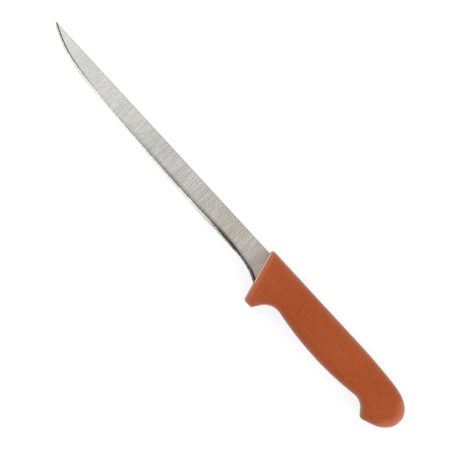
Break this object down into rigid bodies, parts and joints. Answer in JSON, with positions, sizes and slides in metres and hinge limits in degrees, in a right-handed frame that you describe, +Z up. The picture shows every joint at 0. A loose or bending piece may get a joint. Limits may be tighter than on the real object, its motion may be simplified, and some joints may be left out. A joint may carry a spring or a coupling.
{
  "type": "fillet knife",
  "caption": "Slim flexible kitchen knife: straight spine, upswept point, moulded handle with finger guard and hooked butt.",
  "frame": {"origin": "centre of the bounding box's base: the knife lies on one cheek of its handle", "axes": "+X from the point to the butt, +Y from the cutting edge to the spine, +Z up through the thickness"},
  "size_m": [0.3322, 0.0346, 0.018],
  "materials": {
    "steel": "satin",
    "plastic": "matte"
  },
  "bodies": {
    "root": {"blade": "steel", "handle": "plastic"}
  },
  "joints": []
}
